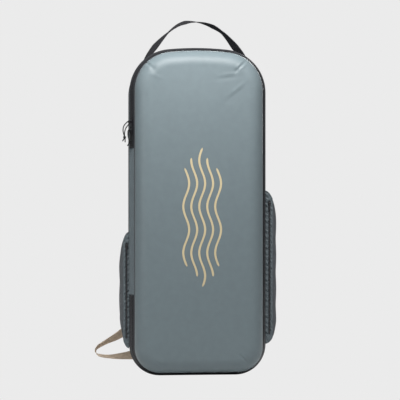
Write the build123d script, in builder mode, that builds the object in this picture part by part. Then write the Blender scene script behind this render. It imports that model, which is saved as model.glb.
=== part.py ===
"""Hard-front tackle backpack: a moulded front shell that opens like a door on a padded fabric body.

Millimetres. +Z is up, the front shell faces -Y, and the harness is on the +Y side.
The origin is the middle of the flat base that the pack stands on.
"""
import os
from math import asin, atan2, cos, degrees, hypot, radians, sin, sqrt, tan
from typing import NamedTuple

from build123d import *

os.makedirs("parts", exist_ok=True)

# ---- driving dimensions --------------------------------------------------------------------------
# Body
BODY_WIDTH = 334.0  # across the side wall
BODY_HEIGHT = 800.0  # from the base to the top of the crown
TOP_CORNER = 105.0  # corner radii of the front view
BOTTOM_CORNER = 74.0
TOP_CROWN = 700.0  # radius of the slightly arched top edge
WALL_FRONT = -48.0  # y of the side wall's front edge
WALL_BACK = 74.0  # y of the side wall's back edge
WALL = 5.0  # foam-filled fabric
BACK_PANEL = 6.0
FRAME_SHEET = 1.6
FRAME_INSET = 16.0
LINING = 1.0
LINING_SETBACK = 2.0  # behind the side wall's front edge
CLEAR = 0.3  # between pieces that lie against each other

# Seam that slants from the side wall forward and inward to the shell's rim
SEAM_IN = 12.0  # how much smaller the rim is than the body, on each side
SEAM_FORWARD = 25.5
SEAM_MARGIN = 1.4  # between the side wall and the first tape
TAPE = 0.8
CHAIN = 2.4  # thickness of the zip's teeth
TEETH = 2.4  # width of one side's teeth
TEETH_GAP = 2.0  # slot between the two sides, where a slider's post runs
PIPING = 4.0  # diameter

# Front shell
SHELL_DEPTH = 52.0
SHELL_WALL = 4.0
SHELL_ROUND = 38.0
SHELL_IN = 0.6  # inside the end of the seam
MESH_TOP = 430.0  # top edge of the flat mesh pocket inside the shell
MESH_MARGIN = 46.0  # from the shell's side to the mesh pocket
MESH_THICK = 1.0
HEM_HEIGHT = 16.0
HEM_THICK = 2.4

# Fabric hinge on the left side, and the straight zip above and below it
ZIP_RUN_ABOVE = 138.2
ZIP_RUN_BELOW = 124.0
HINGE_MARGIN = 1.2
HINGE_THICK = 1.2

# Main zip sliders
LOWER_SLIDER_UP = 39.0  # above the fabric hinge
SLIDER_PITCH = 22.0
POST = 0.7
PLATE = 1.6
PLATE_GAP = 0.5  # between a slider's plates and the teeth
EAR = 1.4
CORD = 2.2  # diameter of the pulls' cord
KNOT = 7.0
TAIL = 9.0
TAIL_TURNS = (-5.0, 38.0)  # degrees from the pull's own line

# Side pockets
POCKET_FRONT = -34.0
POCKET_BACK = 62.0
POCKET_SKIN = 2.0
FRONT_SHARE = 0.58  # width of the pocket's front strip, as a share of its bulge
POCKET_ZIP_END = 22.0  # from each end of the pocket to its zip
POCKET_ZIP_WIDTH = 8.0
POCKET_CHAIN = 2.0
POCKET_TEETH = 2.0
POCKET_GAP = 1.0
POCKET_STOP = 3.0
TAB_LENGTH = 17.0
TAB_WIDTH = 4.6
TAB_THICK = 1.4

# Inside
ROD_BAY = 124.0
DIVIDER = 6.0
DIVIDER_SETBACK = 16.0  # behind the side wall's front edge
SHELVES = 2
ROD_STRAP = 30.0
ROD_STRAPS_AT = (210.0, 590.0)
ROD_STRAP_THICK = 1.8

# Top handle
HANDLE_SPAN = 238.0
HANDLE_RISE = 66.0  # above the crown
HANDLE_SHOULDER = 44.0  # above the crown, at the shoulders of the arch
HANDLE_SHOULDER_X = 66.0
HANDLE_PEAK_X = -8.0
HANDLE_TAB = 12.0
HANDLE_NOTCH = 55.0  # half angle of the pinched ends, degrees
HANDLE_TWISTS = (0, 0, 28, 10, 22, 0, -11, -26, 0, 0)  # degrees, evenly along the arch
WEBBING = 25.0
WEBBING_THICK = 2.0

# Back pads and yoke
PAD = 8.0
PAD_GAP = 16.0  # half the air channel between the two back pads
PAD_SIDE = 52.0  # from a pad to the body's side
PAD_LOW = 300.0
PAD_BELOW_TOP = 132.0
PAD_CORNER = 24.0
LUMBAR_LOW = 128.0
LUMBAR_HEIGHT = 146.0
YOKE_BELOW_TOP = 56.0
YOKE_HEIGHT = 44.0
YOKE_HALF = 106.0
YOKE_THICK = 14.0

# Shoulder straps
STRAP_GAP = 2.0  # from the pads, and from the yoke
STRAP_THICK = 12.0
# x, z and width of the strap, from its top to its bottom
STRAP_LINE = ((64.0, 698.0, 62.0), (84.0, 560.0, 54.0), (92.0, 336.0, 44.0))
LOCK_WIDTH = 34.0
LOCK_HEIGHT = 30.0
LOCK_THICK = 5.0
LOCK_BAR = 4.0
LOCK_SLOT = 26.4
STRAP_END_THICK = 1.6
STRAP_END = 22.0
LOCK_DROP = 6.0  # from a strap's low end to its ladder lock
LOWER_WEBBING_THICK = 1.6
FREE_END = 72.0

# Lower webbing: x outward, y, z and twist of each point, from the ladder lock down to the anchor
LEFT_LOOP = (
    (92, 92.7, 284, 0),
    (98, 94, 235, 0),
    (118, 96, 164, 0),
    (150, 96, 114, 0),
    (190, 95, 84, 8),
    (224, 93, 66, 30),
    (245, 90, 54, 62),
    (252, 88, 43, 90),
    (243, 87, 33, 116),
    (214, 86.4, 29, 138),
    (168, 88, 31, 165),
    (146, 85.4, 35, 176),
    (128, 84.2, 38, 180),
)
RIGHT_LOOP = (
    (92, 92.7, 284, 0),
    (96, 94, 235, 0),
    (108, 96, 172, 0),
    (124, 94, 110, 0),
    (134, 88, 68, 0),
    (138, 84.2, 40, 0),
)
ANCHOR_Z = 38.0
ANCHOR_IN = 6.0  # from the body's side
ANCHOR_WIDTH = 48.0
ANCHOR_THICK = 2.4

# Sternum strap
STERNUM_Z = 560.0
STERNUM = 20.0
STERNUM_THICK = 1.5
STERNUM_GRIP = 14.0  # past the middle of each shoulder strap
BUCKLE_X = -8.0  # where the buckle's two halves meet
BUCKLE_LENGTH = 30.0
BUCKLE_HEIGHT = 27.0
BUCKLE_THICK = 9.0
BUCKLE_WALL = 1.8
BUCKLE_SEAT = 6.0  # depth of the pockets that hold the webbing
MALE_BASE = 14.0
PRONG = 21.0
PRONG_HEIGHT = 4.0
GUIDE = 16.0


class Slider(NamedTuple):
    length: float
    width: float
    chain: float
    bar: float  # diameter of the bar that a pull hangs on
    bar_height: float  # of the bar's middle over the middle of the teeth
    bar_up: float
    ear_spread: float  # each side of the middle


MAIN_SLIDER = Slider(17.0, 12.0, CHAIN, 2.2, 7.4, 3.0, 3.6)
POCKET_SLIDER = Slider(12.0, 6.6, POCKET_CHAIN, 1.4, 4.9, 2.0, 2.6)


class Pull(NamedTuple):
    drop: float  # from the bar to the knot
    out: float  # from the bar outward to the knot
    lean: float  # degrees that it hangs off to the shell's side of its slider
    inner: float  # outward reach of the strand nearer the seam
    outer: float  # outward reach of the other strand


UPPER_PULL = Pull(38.0, 9.5, -8.0, 9.0, 14.6)
LOWER_PULL = Pull(27.0, 0.0, 8.0, -2.8, 3.6)


class Pocket(NamedTuple):
    side: int
    low: float
    height: float
    bulge: float
    top_round: float
    low_round: float
    zip_out: float  # zip's middle, out from the side wall


POCKETS = {
    "left": Pocket(-1, 66.0, 281.0, 24.0, 102.0, 110.0, 6.4),
    "right": Pocket(1, 74.0, 376.0, 33.0, 116.0, 86.0, 11.0),
}

# ---- places worked out from the dimensions -------------------------------------------------------
SIDE = BODY_WIDTH / 2
SEAM_LENGTH = hypot(SEAM_IN, SEAM_FORWARD)
SEAM_SLANT = atan2(SEAM_IN, SEAM_FORWARD)
SEAM_MIDDLE = SEAM_LENGTH / 2
PIPING_INSET = SEAM_IN + PIPING / 3
PIPING_Y = WALL_FRONT - SEAM_FORWARD - PIPING / 2 - CLEAR
SHELL_INSET = SEAM_IN + SHELL_IN
RIM_Y = PIPING_Y - PIPING / 2 - CLEAR
SHELL_FRONT = RIM_Y - SHELL_DEPTH
CORNER_X = SIDE - TOP_CORNER
CROWN_Z = BODY_HEIGHT - TOP_CROWN
CROWN_HALF_ANGLE = degrees(asin(CORNER_X / (TOP_CROWN - TOP_CORNER)))
CORNER_Z = CROWN_Z + sqrt((TOP_CROWN - TOP_CORNER) ** 2 - CORNER_X**2)
HINGE_TOP = CORNER_Z - ZIP_RUN_ABOVE
HINGE_LOW = BOTTOM_CORNER + ZIP_RUN_BELOW
LOWER_SLIDER_Z = HINGE_TOP + LOWER_SLIDER_UP
UPPER_SLIDER_Z = LOWER_SLIDER_Z + SLIDER_PITCH
BACK_FACE = WALL_BACK + CLEAR + BACK_PANEL
PAD_FACE = BACK_FACE + PAD
STRAP_FRONT = PAD_FACE + STRAP_GAP
STRAP_BACK = STRAP_FRONT + STRAP_THICK
STRAP_MIDDLE = (STRAP_FRONT + STRAP_BACK) / 2
YOKE_TOP = BODY_HEIGHT - YOKE_BELOW_TOP
YOKE_LOW = YOKE_TOP - YOKE_HEIGHT
LINING_INSET = WALL + CLEAR
LINING_BACK = WALL_BACK - FRAME_SHEET - CLEAR
INSIDE_INSET = LINING_INSET + LINING + CLEAR
INSIDE_BACK = LINING_BACK - LINING - CLEAR
DIVIDER_FRONT = WALL_FRONT + DIVIDER_SETBACK
DIVIDER_X = INSIDE_INSET + ROD_BAY - SIDE
LOCK_X = STRAP_LINE[-1][0]
LOCK_TOP = STRAP_LINE[-1][1] - LOCK_DROP
LOCK_LOW = LOCK_TOP - LOCK_HEIGHT


def front_plane(y):
    """Plane that faces the front at this y, with X across and Z up as its own axes."""
    return Plane.XZ.offset(-y)


def outline(inset=0.0):
    """The body's front view, drawn in by inset, as a flat sketch."""
    half = SIDE - inset
    bottom = BOTTOM_CORNER - inset
    top = TOP_CORNER - inset
    low_x = SIDE - BOTTOM_CORNER
    corner = 90 - CROWN_HALF_ANGLE
    with BuildSketch(mode=Mode.PRIVATE) as drawing:
        with BuildLine():
            Line((-low_x, inset), (low_x, inset))
            CenterArc((low_x, BOTTOM_CORNER), bottom, -90, 90)
            Line((half, BOTTOM_CORNER), (half, CORNER_Z))
            CenterArc((CORNER_X, CORNER_Z), top, 0, corner)
            CenterArc((0, CROWN_Z), TOP_CROWN - inset, corner, 2 * CROWN_HALF_ANGLE)
            CenterArc((-CORNER_X, CORNER_Z), top, 180 - corner, corner)
            Line((-half, CORNER_Z), (-half, BOTTOM_CORNER))
            CenterArc((-low_x, BOTTOM_CORNER), bottom, 180, 90)
        make_face()
    return drawing.sketch


def top_height(x):
    """Height of the body's top edge over x, on its corner arc or on its crown."""
    if abs(x) > TOP_CROWN * sin(radians(CROWN_HALF_ANGLE)):
        return CORNER_Z + sqrt(TOP_CORNER**2 - (abs(x) - CORNER_X) ** 2)
    return CROWN_Z + sqrt(TOP_CROWN**2 - x**2)


def seam_point(along):
    """Inset and y of the point that far along the slanted seam from the side wall."""
    share = along / SEAM_LENGTH
    return share * SEAM_IN, WALL_FRONT - share * SEAM_FORWARD


def save(piece, label):
    """Labels a finished piece and writes it as its own file."""
    piece.part.label = label
    export_step(piece.part, f"parts/{label}.step")


def block(inset, back, front):
    """Solid of the body's front view between two depths."""
    with BuildPart(mode=Mode.PRIVATE) as solid:
        with BuildSketch(front_plane(back)):
            add(outline(inset))
        extrude(amount=back - front)
    return solid.part


def dome(skin):
    """Solid inside the front shell's outside by this much, with its front edge rolled over."""
    front = SHELL_FRONT + skin
    with BuildPart(mode=Mode.PRIVATE) as solid:
        with BuildSketch(front_plane(RIM_Y)):
            add(outline(SHELL_INSET + skin))
        extrude(amount=RIM_Y - front)
        fillet(solid.faces().sort_by(Axis.Y)[0].edges(), SHELL_ROUND - skin)
    return solid.part


def seam_band(start, end, thick):
    """Ring that lies on the slanted seam from start to end, left open at the fabric hinge."""
    across = thick / 2 / cos(SEAM_SLANT)
    with BuildPart() as band:
        for shift, mode in ((-across, Mode.ADD), (across, Mode.SUBTRACT)):
            for along in (start, end):
                inset, y = seam_point(along)
                with BuildSketch(front_plane(y)):
                    add(outline(inset + shift))
            loft(ruled=True, mode=mode)
        with Locations((-SIDE, WALL_FRONT - SEAM_FORWARD / 2, (HINGE_TOP + HINGE_LOW) / 2)):
            Box(4 * SEAM_IN, 2 * SEAM_FORWARD, HINGE_TOP - HINGE_LOW, mode=Mode.SUBTRACT)
    return band


# ---- body ----------------------------------------------------------------------------------------
with BuildPart() as side_wall:
    add(block(0, WALL_BACK, WALL_FRONT))
    add(block(WALL, WALL_BACK, WALL_FRONT), mode=Mode.SUBTRACT)
save(side_wall, "side_wall")

with BuildPart() as back_panel:
    add(block(0, BACK_FACE, WALL_BACK + CLEAR))
    fillet(back_panel.faces().sort_by(Axis.Y)[-1].edges(), BACK_PANEL * 0.7)
save(back_panel, "back_panel")

with BuildPart() as frame_sheet:
    add(block(FRAME_INSET, WALL_BACK, WALL_BACK - FRAME_SHEET))
save(frame_sheet, "frame_sheet")

with BuildPart() as main_lining:
    add(block(LINING_INSET, LINING_BACK, WALL_FRONT + LINING_SETBACK))
    add(block(LINING_INSET + LINING, LINING_BACK - LINING, WALL_FRONT), mode=Mode.SUBTRACT)
save(main_lining, "main_lining")


# ---- dividers inside -----------------------------------------------------------------------------
def inside_piece(low_x, high_x, low_z, high_z, back, front):
    """Slab between two depths that fills the given part of the lined body."""
    with BuildPart() as slab:
        add(block(INSIDE_INSET, back, front))
        with Locations(((low_x + high_x) / 2, (back + front) / 2, (low_z + high_z) / 2)):
            Box(high_x - low_x, back - front, high_z - low_z, mode=Mode.INTERSECT)
    return slab


DIVIDER_END = DIVIDER_X + DIVIDER
save(
    inside_piece(DIVIDER_X, DIVIDER_END, 0, BODY_HEIGHT, INSIDE_BACK, DIVIDER_FRONT),
    "rod_divider",
)
for number in range(1, SHELVES + 1):
    shelf_z = BODY_HEIGHT * number / (SHELVES + 1)
    shelf = inside_piece(DIVIDER_END + CLEAR, SIDE, shelf_z, shelf_z + DIVIDER, INSIDE_BACK, DIVIDER_FRONT)
    save(shelf, f"gear_shelf_{number}")

for name, strap_z in zip(("lower", "upper"), ROD_STRAPS_AT):
    strap_back = DIVIDER_FRONT - CLEAR
    keeper = inside_piece(
        -SIDE,
        DIVIDER_END,
        strap_z - ROD_STRAP / 2,
        strap_z + ROD_STRAP / 2,
        strap_back,
        strap_back - ROD_STRAP_THICK,
    )
    save(keeper, f"{name}_rod_strap")

# ---- main zip: two tapes, two rows of teeth, and the fabric hinge --------------------------------
TEETH_REACH = TEETH_GAP / 2 + TEETH
save(seam_band(SEAM_MARGIN, SEAM_MIDDLE - TEETH_REACH, TAPE), "rear_zip_tape")
save(seam_band(SEAM_MIDDLE - TEETH_REACH, SEAM_MIDDLE - TEETH_GAP / 2, CHAIN), "rear_zip_teeth")
save(seam_band(SEAM_MIDDLE + TEETH_GAP / 2, SEAM_MIDDLE + TEETH_REACH, CHAIN), "front_zip_teeth")
save(seam_band(SEAM_MIDDLE + TEETH_REACH, SEAM_LENGTH, TAPE), "front_zip_tape")

with BuildPart() as hinge_panel:
    with BuildSketch(Plane.XY.offset(HINGE_LOW + CLEAR)):
        with BuildLine():
            near_in, near_y = seam_point(HINGE_MARGIN)
            far_in, far_y = seam_point(SEAM_LENGTH)
            half_thick = HINGE_THICK / 2 / cos(SEAM_SLANT)
            Polyline(
                (near_in - SIDE - half_thick, near_y),
                (far_in - SIDE - half_thick, far_y),
                (far_in - SIDE + half_thick, far_y),
                (near_in - SIDE + half_thick, near_y),
                close=True,
            )
        make_face()
    extrude(amount=HINGE_TOP - HINGE_LOW - 2 * CLEAR)
save(hinge_panel, "hinge_panel")

# ---- front shell ---------------------------------------------------------------------------------
with BuildPart() as front_shell:
    add(dome(0))
    add(dome(SHELL_WALL), mode=Mode.SUBTRACT)
save(front_shell, "front_shell")

with BuildPart() as shell_lining:
    add(dome(SHELL_WALL + CLEAR))
    add(dome(SHELL_WALL + CLEAR + LINING), mode=Mode.SUBTRACT)
save(shell_lining, "shell_lining")

with BuildSketch(front_plane(PIPING_Y), mode=Mode.PRIVATE) as rim:
    add(outline(PIPING_INSET))
rim_line = rim.sketch.face().outer_wire()

with BuildPart() as front_piping:
    with BuildSketch(Plane(rim_line @ 0, z_dir=rim_line % 0)):
        Circle(PIPING / 2)
    sweep(path=rim_line)
save(front_piping, "front_piping")

MESH_FRONT = SHELL_FRONT + SHELL_WALL + LINING + 2 * CLEAR
MESH_INSET = SHELL_INSET + MESH_MARGIN
with BuildPart() as mesh_pocket:
    add(block(MESH_INSET, MESH_FRONT + MESH_THICK, MESH_FRONT))
    with Locations((0, MESH_FRONT, MESH_TOP + BODY_HEIGHT / 2)):
        Box(BODY_WIDTH, BODY_WIDTH, BODY_HEIGHT, mode=Mode.SUBTRACT)
save(mesh_pocket, "mesh_pocket")

with BuildPart() as mesh_hem:
    with BuildSketch(front_plane(MESH_FRONT + HEM_THICK)):
        with Locations((0, MESH_TOP + CLEAR + HEM_HEIGHT / 2)):
            Rectangle(BODY_WIDTH - 2 * MESH_INSET, HEM_HEIGHT)
    extrude(amount=HEM_THICK)
    fillet(mesh_hem.edges().filter_by(Axis.X), HEM_THICK * 0.35)
save(mesh_hem, "mesh_hem")


# ---- sliders and their cord pulls ----------------------------------------------------------------
def slider(place, size):
    """Zip slider on teeth that run along the plane's own Y, with its front along the plane's normal."""
    plate_low = size.chain / 2 + PLATE_GAP
    plate_top = plate_low + PLATE
    with BuildPart() as body:
        for low in (plate_low, -plate_top):
            with BuildSketch(place.offset(low)):
                RectangleRounded(size.width, size.length, size.width * 0.3)
            extrude(amount=PLATE)
        with BuildSketch(place.offset(-plate_low)):
            Rectangle(POST, size.length * 0.8)
        extrude(amount=2 * plate_low)
        with BuildSketch(place.offset(plate_top)):
            with Locations((-size.ear_spread, size.bar_up), (size.ear_spread, size.bar_up)):
                Rectangle(EAR, 2 * size.bar)
        extrude(amount=size.bar_height + size.bar / 2 - plate_top)
        with BuildSketch(bar_plane(place, size).offset(-size.ear_spread)):
            Circle(size.bar / 2)
        extrude(amount=2 * size.ear_spread)
    return body


def bar_plane(place, size, lean=0.0):
    """Plane across a slider's bar at its middle: X runs down the pull and Y away from the teeth."""
    middle = place.from_local_coords(Vector(0, size.bar_up, size.bar_height))
    down = place.x_dir * sin(radians(lean)) - place.y_dir * cos(radians(lean))
    return Plane(middle, x_dir=down, z_dir=down.cross(place.z_dir))


def cord_pull(place, size, shape):
    """A loop of cord round the slider's bar, tied in a knot with two short tails."""
    across = bar_plane(place, size, shape.lean)
    around = (size.bar + CORD) / 2 + CLEAR
    points = [
        (shape.drop - KNOT / 3, shape.out - KNOT / 4),
        (shape.drop * 0.45, shape.inner),
        (around * 0.6, -around),
        (-around, -around),
        (-around, around),
        (shape.drop * 0.3, shape.outer),
        (shape.drop * 0.62, shape.outer),
        (shape.drop - KNOT / 3, shape.out + KNOT / 4),
    ]
    bends = [5.0, around * 0.5, around * 0.95, around * 0.95, 5.0, 5.0]
    knot_at = across.from_local_coords(Vector(shape.drop, shape.out, 0))
    with BuildPart() as cord:
        with BuildLine(across) as route:
            FilletPolyline(*points, radius=bends)
        with BuildSketch(Plane(route.line @ 0, z_dir=route.line % 0)):
            Circle(CORD / 2)
        sweep(path=route.line)
        for turn in TAIL_TURNS:
            tail = across.x_dir * cos(radians(turn)) + across.y_dir * sin(radians(turn))
            with BuildSketch(Plane(knot_at, z_dir=tail)):
                Circle(CORD / 2)
            extrude(amount=KNOT / 2 + TAIL)
        with Locations(knot_at):
            Sphere(KNOT / 2)
    return cord


def seam_place(z):
    """Slider's plane on the left side's seam at this height: X towards the shell, Y up, Z outward."""
    inset, y = seam_point(SEAM_MIDDLE)
    toward_shell = Vector(sin(SEAM_SLANT), -cos(SEAM_SLANT), 0)
    outward = Vector(-cos(SEAM_SLANT), -sin(SEAM_SLANT), 0)
    return Plane((inset - SIDE, y, z), x_dir=toward_shell, z_dir=outward)


for name, height, shape in (
    ("upper", UPPER_SLIDER_Z, UPPER_PULL),
    ("lower", LOWER_SLIDER_Z, LOWER_PULL),
):
    save(slider(seam_place(height), MAIN_SLIDER), f"{name}_slider")
    save(cord_pull(seam_place(height), MAIN_SLIDER, shape), f"{name}_pull_cord")


# ---- side pockets --------------------------------------------------------------------------------
def pillow(pocket, skin):
    """Closed pocket shape against the side wall, drawn in by skin: boxy in front, domed from above."""
    out = pocket.bulge - skin
    strip = pocket.bulge * FRONT_SHARE - skin
    low_z = pocket.low + pocket.low_round
    top_z = pocket.low + pocket.height - pocket.top_round
    half_y = (POCKET_BACK - POCKET_FRONT) / 2 - skin
    middle_y = (POCKET_BACK + POCKET_FRONT) / 2
    wall_x = pocket.side * (SIDE + CLEAR)
    with BuildPart(mode=Mode.PRIVATE) as solid:
        with BuildSketch(front_plane(POCKET_BACK)):
            with Locations((wall_x, low_z)):
                Ellipse(out, pocket.low_round - skin)
            with Locations((wall_x, top_z)):
                Ellipse(out, pocket.top_round - skin)
            with Locations((wall_x, (low_z + top_z) / 2)):
                Rectangle(2 * out, top_z - low_z)
            with Locations((wall_x - pocket.side * BODY_WIDTH / 2, BODY_HEIGHT / 2)):
                Rectangle(BODY_WIDTH, BODY_HEIGHT, mode=Mode.SUBTRACT)
        extrude(amount=POCKET_BACK - POCKET_FRONT)
        with BuildSketch(Plane.XY):
            with Locations((wall_x + pocket.side * strip, middle_y)):
                Ellipse(out - strip, half_y)
            with Locations((wall_x + pocket.side * strip / 2, middle_y)):
                Rectangle(strip, 2 * half_y)
        extrude(amount=BODY_HEIGHT, mode=Mode.INTERSECT)
    return solid.part


def pocket_zip(pocket, zip_x, low, high):
    """Both tapes and rows of teeth of a pocket's zip, joined by a stop at each end."""
    inner_edge = POCKET_GAP / 2
    outer_edge = POCKET_ZIP_WIDTH / 2 - CLEAR
    middle_y = POCKET_FRONT + POCKET_SKIN / 2
    with BuildPart() as closure:
        for reach, thick in ((outer_edge, TAPE), (inner_edge + POCKET_TEETH, POCKET_CHAIN)):
            with BuildSketch(front_plane(middle_y + thick / 2)):
                with Locations((zip_x, (low + high) / 2)):
                    Rectangle(2 * reach, high - low - 2 * CLEAR)
                    Rectangle(POCKET_GAP, high - low - 2 * POCKET_STOP, mode=Mode.SUBTRACT)
            extrude(amount=thick)
    return closure


def pull_tab(place, size):
    """Flat tab with an eye that turns on the slider's bar."""
    eye = size.bar / 2 + CLEAR
    ring = eye + TAB_THICK / 2
    with BuildPart() as tab:
        with BuildSketch(bar_plane(place, size).offset(-TAB_WIDTH / 2 + EAR / 2)):
            Circle(ring)
            with Locations((TAB_LENGTH / 2, 0)):
                Rectangle(TAB_LENGTH, TAB_THICK)
            Circle(eye, mode=Mode.SUBTRACT)
        extrude(amount=TAB_WIDTH - EAR)
    return tab


for name, pocket in POCKETS.items():
    zip_x = pocket.side * (SIDE + CLEAR + pocket.zip_out)
    zip_low = pocket.low + POCKET_ZIP_END
    zip_high = pocket.low + pocket.height - POCKET_ZIP_END
    strip_back = POCKET_FRONT + POCKET_SKIN
    with BuildPart() as pocket_front:
        add(pillow(pocket, 0))
        with Locations((pocket.side * SIDE, strip_back + BODY_WIDTH / 2, BODY_HEIGHT / 2)):
            Box(BODY_WIDTH, BODY_WIDTH, BODY_HEIGHT, mode=Mode.SUBTRACT)
        with Locations((zip_x, POCKET_FRONT, (zip_low + zip_high) / 2)):
            Box(POCKET_ZIP_WIDTH, 4 * POCKET_SKIN, zip_high - zip_low, mode=Mode.SUBTRACT)
    save(pocket_front, f"{name}_pocket_front")

    with BuildPart() as pocket_panel:
        add(pillow(pocket, 0))
        add(pillow(pocket, POCKET_SKIN), mode=Mode.SUBTRACT)
        with Locations((pocket.side * SIDE, strip_back - BODY_WIDTH / 2, BODY_HEIGHT / 2)):
            Box(BODY_WIDTH, BODY_WIDTH, BODY_HEIGHT, mode=Mode.SUBTRACT)
    save(pocket_panel, f"{name}_pocket_panel")
    save(pocket_zip(pocket, zip_x, zip_low, zip_high), f"{name}_pocket_zip")

    slider_z = zip_high - POCKET_STOP - POCKET_SLIDER.length / 2
    slider_place = Plane(
        (zip_x, POCKET_FRONT + POCKET_SKIN / 2, slider_z),
        x_dir=(1, 0, 0),
        z_dir=(0, -1, 0),
    )
    save(slider(slider_place, POCKET_SLIDER), f"{name}_pocket_slider")
    save(pull_tab(slider_place, POCKET_SLIDER), f"{name}_pocket_tab")


# ---- webbing -------------------------------------------------------------------------------------
def ribbon(stations, width, thick):
    """Webbing lofted through stations, each a point, the way the webbing runs and the way it is wide."""
    with BuildLine(mode=Mode.PRIVATE) as near_edge:
        Spline(*[point - wide * (width / 2) for point, along, wide in stations])
    with BuildLine(mode=Mode.PRIVATE) as far_edge:
        Spline(*[point + wide * (width / 2) for point, along, wide in stations])
    middle = Face.make_surface_from_curves(near_edge.line.edge(), far_edge.line.edge())
    with BuildPart(mode=Mode.PRIVATE) as strip:
        thicken(middle, amount=thick / 2, both=True)
    return strip.part


def twisted(line, twists):
    """Stations at even steps along a line, turned about it by the twists from lying along Y."""
    stations = []
    for step, twist in enumerate(twists):
        share = step / (len(twists) - 1)
        along = line % share
        level = Vector(0, 1, 0) - along * along.Y
        level = level.normalized()
        stations.append((line @ share, along, level.rotate(Axis((0, 0, 0), along), twist)))
    return stations


# Top handle: two sewn tabs and the loop that swings between them
HANDLE_FOOT = top_height(HANDLE_SPAN / 2)
HANDLE_PIVOT = HANDLE_FOOT + HANDLE_TAB


def handle_arch():
    """The whole arch of webbing from foot to foot, standing on the body."""
    below = HANDLE_FOOT - HANDLE_TAB
    shoulder = BODY_HEIGHT + HANDLE_SHOULDER
    with BuildLine(front_plane(0), mode=Mode.PRIVATE) as arch_line:
        Spline(
            (-HANDLE_SPAN / 2 - 4, below),
            (-HANDLE_SHOULDER_X, shoulder),
            (HANDLE_PEAK_X, BODY_HEIGHT + HANDLE_RISE),
            (HANDLE_SHOULDER_X, shoulder),
            (HANDLE_SPAN / 2 + 4, below),
        )
    with BuildPart(mode=Mode.PRIVATE) as arch:
        add(ribbon(twisted(arch_line.line, HANDLE_TWISTS), WEBBING, WEBBING_THICK))
        add(block(-CLEAR, WALL_BACK, WALL_FRONT), mode=Mode.SUBTRACT)
    return arch.part


def pinch(way):
    """Wedge above (1) or below (-1) the handle's pivot line, across the whole body."""
    reach = HANDLE_RISE * 2
    half = reach * tan(radians(HANDLE_NOTCH))
    tip = HANDLE_PIVOT + way * CLEAR
    with BuildPart(mode=Mode.PRIVATE) as wedge:
        with BuildSketch(Plane.YZ.offset(-SIDE)):
            with BuildLine():
                Polyline((0, tip), (half, tip + way * reach), (-half, tip + way * reach), close=True)
            make_face()
        extrude(amount=BODY_WIDTH)
    return wedge.part


with BuildPart() as handle_loop:
    add(handle_arch())
    add(pinch(1), mode=Mode.INTERSECT)
save(handle_loop, "handle_loop")

with BuildPart() as handle_tabs:
    add(handle_arch())
    add(pinch(-1), mode=Mode.INTERSECT)
for name, tab in zip(("left", "right"), handle_tabs.solids().sort_by(Axis.X)):
    with BuildPart() as handle_tab:
        add(tab)
    save(handle_tab, f"{name}_handle_tab")


# ---- back pads, yoke and shoulder straps ---------------------------------------------------------
def pad(low_x, high_x, low_z, high_z, thick, corner):
    """Foam pad sewn on the back panel, with a rolled edge."""
    with BuildPart() as foam:
        with BuildSketch(front_plane(BACK_FACE + thick)):
            with Locations(((low_x + high_x) / 2, (low_z + high_z) / 2)):
                RectangleRounded(high_x - low_x, high_z - low_z, corner)
        extrude(amount=thick - CLEAR)
        fillet(foam.faces().sort_by(Axis.Y)[-1].edges(), thick * 0.6)
    return foam


PAD_OUT = SIDE - PAD_SIDE
PAD_TOP = BODY_HEIGHT - PAD_BELOW_TOP
save(pad(-PAD_OUT, -PAD_GAP, PAD_LOW, PAD_TOP, PAD, PAD_CORNER), "left_back_pad")
save(pad(PAD_GAP, PAD_OUT, PAD_LOW, PAD_TOP, PAD, PAD_CORNER), "right_back_pad")
save(pad(-PAD_OUT, PAD_OUT, LUMBAR_LOW, LUMBAR_LOW + LUMBAR_HEIGHT, PAD, PAD_CORNER), "lumbar_pad")
save(pad(-YOKE_HALF, YOKE_HALF, YOKE_LOW, YOKE_TOP, YOKE_THICK, YOKE_HEIGHT / 3), "yoke")


def shoulder_strap(side):
    """Padded strap, narrowing and drifting outward from the yoke to the ladder lock."""
    inner = [(side * (x - width / 2), z) for x, z, width in STRAP_LINE]
    outer = [(side * (x + width / 2), z) for x, z, width in STRAP_LINE]
    with BuildPart() as strap:
        with BuildSketch(front_plane(STRAP_BACK)):
            with BuildLine():
                Spline(*inner)
                Line(inner[-1], outer[-1])
                Spline(*outer)
                Line(outer[0], inner[0])
            make_face()
        extrude(amount=STRAP_THICK)
        fillet(strap.faces().sort_by(Axis.Y)[-1].edges(), STRAP_THICK / 3)
    return strap


def ladder_lock(side):
    """Plastic frame with two slots, one for the strap's end and one for the lower webbing."""
    slot_height = (LOCK_HEIGHT - 3 * LOCK_BAR) / 2
    middle_z = (LOCK_TOP + LOCK_LOW) / 2
    slot_shift = (slot_height + LOCK_BAR) / 2
    with BuildPart() as lock:
        with BuildSketch(front_plane(STRAP_MIDDLE + LOCK_THICK / 2)):
            with Locations((side * LOCK_X, middle_z)):
                RectangleRounded(LOCK_WIDTH, LOCK_HEIGHT, LOCK_BAR * 0.8)
                with Locations((0, slot_shift), (0, -slot_shift)):
                    Rectangle(LOCK_SLOT, slot_height, mode=Mode.SUBTRACT)
        extrude(amount=LOCK_THICK)
    return lock


def hairpin(side, bar_z, way, thick, inner_leg, outer_leg):
    """Webbing folded round one of the lock's bars; its legs run down (-1) or up (1) from the bar."""
    radius = LOCK_THICK / 2 + CLEAR + thick / 2
    with BuildPart(mode=Mode.PRIVATE) as fold:
        with BuildSketch(Plane.YZ.offset(side * LOCK_X - WEBBING / 2)):
            with BuildLine():
                Line((STRAP_MIDDLE - radius, bar_z + way * inner_leg), (STRAP_MIDDLE - radius, bar_z))
                CenterArc((STRAP_MIDDLE, bar_z), radius, 0, -180 * way)
                Line((STRAP_MIDDLE + radius, bar_z), (STRAP_MIDDLE + radius, bar_z + way * outer_leg))
            trace(line_width=thick)
        extrude(amount=WEBBING)
    return fold.part


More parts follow.
